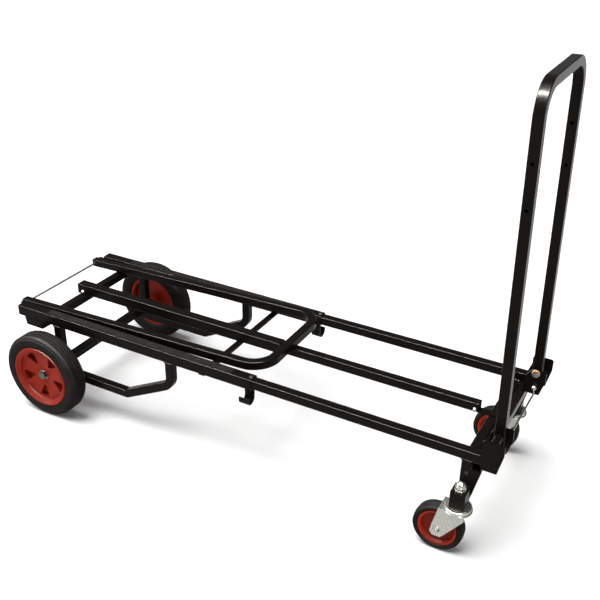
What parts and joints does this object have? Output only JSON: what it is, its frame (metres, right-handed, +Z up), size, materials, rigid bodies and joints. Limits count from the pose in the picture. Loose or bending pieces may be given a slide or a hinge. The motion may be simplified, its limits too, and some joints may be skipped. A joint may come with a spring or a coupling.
{
  "type": "convertible hand truck",
  "caption": "Convertible hand truck with telescoping square-tube frame, folding U handles, large rear wheels and swivel casters.",
  "frame": {"origin": "centre of the bounding box, on the ground", "axes": "+X along the length towards the casters and the upright handle, +Y to the left side, +Z up"},
  "size_m": [1.1802, 0.4636, 0.8975],
  "materials": {
    "black_paint": "semi-gloss black powder coat",
    "dark_steel": "black-finished steel",
    "zinc": "bright zinc plate",
    "brass_washer": "satin",
    "red_plastic": "glossy moulded red-orange",
    "rubber_tread": "matte black rubber",
    "grip_strip": "coarse gritty",
    "black_plastic": "matte"
  },
  "bodies": {
    "main_frame": {"main_rail_left": "black_paint", "main_rail_right": "black_paint", "centre_rail": "black_paint", "centre_bolt": "zinc", "rear_cross_tube": "black_paint", "mid_cross_flat": "black_paint", "tie_hook_left": "black_paint", "tie_hook_right": "black_paint", "strut_left": "black_paint", "strut_right": "black_paint", "skid_loop_left": "black_paint", "skid_loop_right": "black_paint", "axle_tube": "black_paint", "axle_rod": "zinc", "axle_spacers": "dark_steel", "axle_washers": "zinc", "axle_nuts": "zinc", "grip_strips": "grip_strip", "rear_ear_left": "black_paint", "rear_ear_right": "black_paint", "gussets": "black_paint", "rear_pivot_rod": "zinc", "rail_screws": "dark_steel", "stop_screws": "dark_steel", "rail_caps": "black_plastic"},
    "rear_handle": {"rear_handle": "black_paint"},
    "extension": {"ext_rail_left": "black_paint", "ext_rail_right": "black_paint", "ext_rail_centre": "black_paint", "ext_bolt": "zinc", "centre_strap": "black_paint", "ext_cross_front": "black_paint", "ext_cross_rear": "black_paint", "caster_leg_left": "black_paint", "caster_leg_right": "black_paint", "leg_brace_left": "black_paint", "leg_brace_right": "black_paint", "caster_block_left": "black_paint", "caster_block_right": "black_paint", "caster_stems": "zinc", "acorn_nuts": "zinc", "raceways": "zinc", "front_bracket_left": "black_paint", "front_bracket_right": "black_paint", "front_pivots": "zinc", "pivot_washers": "brass_washer", "tie_rod": "zinc"},
    "front_handle": {"front_handle": "black_paint"},
    "caster_swivel_left": {"caster_fork_left": "zinc", "caster_axle_left": "zinc"},
    "caster_wheel_left": {"caster_tyre_left": "rubber_tread", "caster_rim_left": "red_plastic"},
    "rear_wheel_left": {"rear_tyre_left": "rubber_tread", "rear_rim_left": "red_plastic"},
    "caster_swivel_right": {"caster_fork_right": "zinc", "caster_axle_right": "zinc"},
    "caster_wheel_right": {"caster_tyre_right": "rubber_tread", "caster_rim_right": "red_plastic"},
    "rear_wheel_right": {"rear_tyre_right": "rubber_tread", "rear_rim_right": "red_plastic"}
  },
  "joints": [
    {"name": "frame_slide", "type": "slide", "parent": "main_frame", "child": "extension", "axis": [1, 0, 0], "range_m": [-0.4, 0]},
    {"name": "rear_handle_fold", "type": "hinge", "parent": "main_frame", "child": "rear_handle", "pos_m": [-0.58285, 0, 0.2175], "axis": [0, -1, 0], "range_deg": [0, 88.2]},
    {"name": "front_handle_fold", "type": "hinge", "parent": "extension", "child": "front_handle", "pos_m": [0.56915, 0, 0.2575], "axis": [0, -1, 0], "range_deg": [0, 88.7]},
    {"name": "caster_swivel_left", "type": "hinge", "parent": "extension", "child": "caster_swivel_left", "pos_m": [0.52315, 0.178, 0.1065], "axis": [0, 0, 1], "continuous": true},
    {"name": "caster_roll_left", "type": "hinge", "parent": "caster_swivel_left", "child": "caster_wheel_left", "pos_m": [0.49015, 0.178, 0.0508], "axis": [0, 1, 0], "continuous": true},
    {"name": "rear_wheel_roll_left", "type": "hinge", "parent": "main_frame", "child": "rear_wheel_left", "pos_m": [-0.46485, 0.208, 0.1016], "axis": [0, 1, 0], "continuous": true},
    {"name": "caster_swivel_right", "type": "hinge", "parent": "extension", "child": "caster_swivel_right", "pos_m": [0.52315, -0.178, 0.1065], "axis": [0, 0, 1], "continuous": true},
    {"name": "caster_roll_right", "type": "hinge", "parent": "caster_swivel_right", "child": "caster_wheel_right", "pos_m": [0.49015, -0.178, 0.0508], "axis": [0, 1, 0], "continuous": true},
    {"name": "rear_wheel_roll_right", "type": "hinge", "parent": "main_frame", "child": "rear_wheel_right", "pos_m": [-0.46485, -0.208, 0.1016], "axis": [0, 1, 0], "continuous": true}
  ]
}
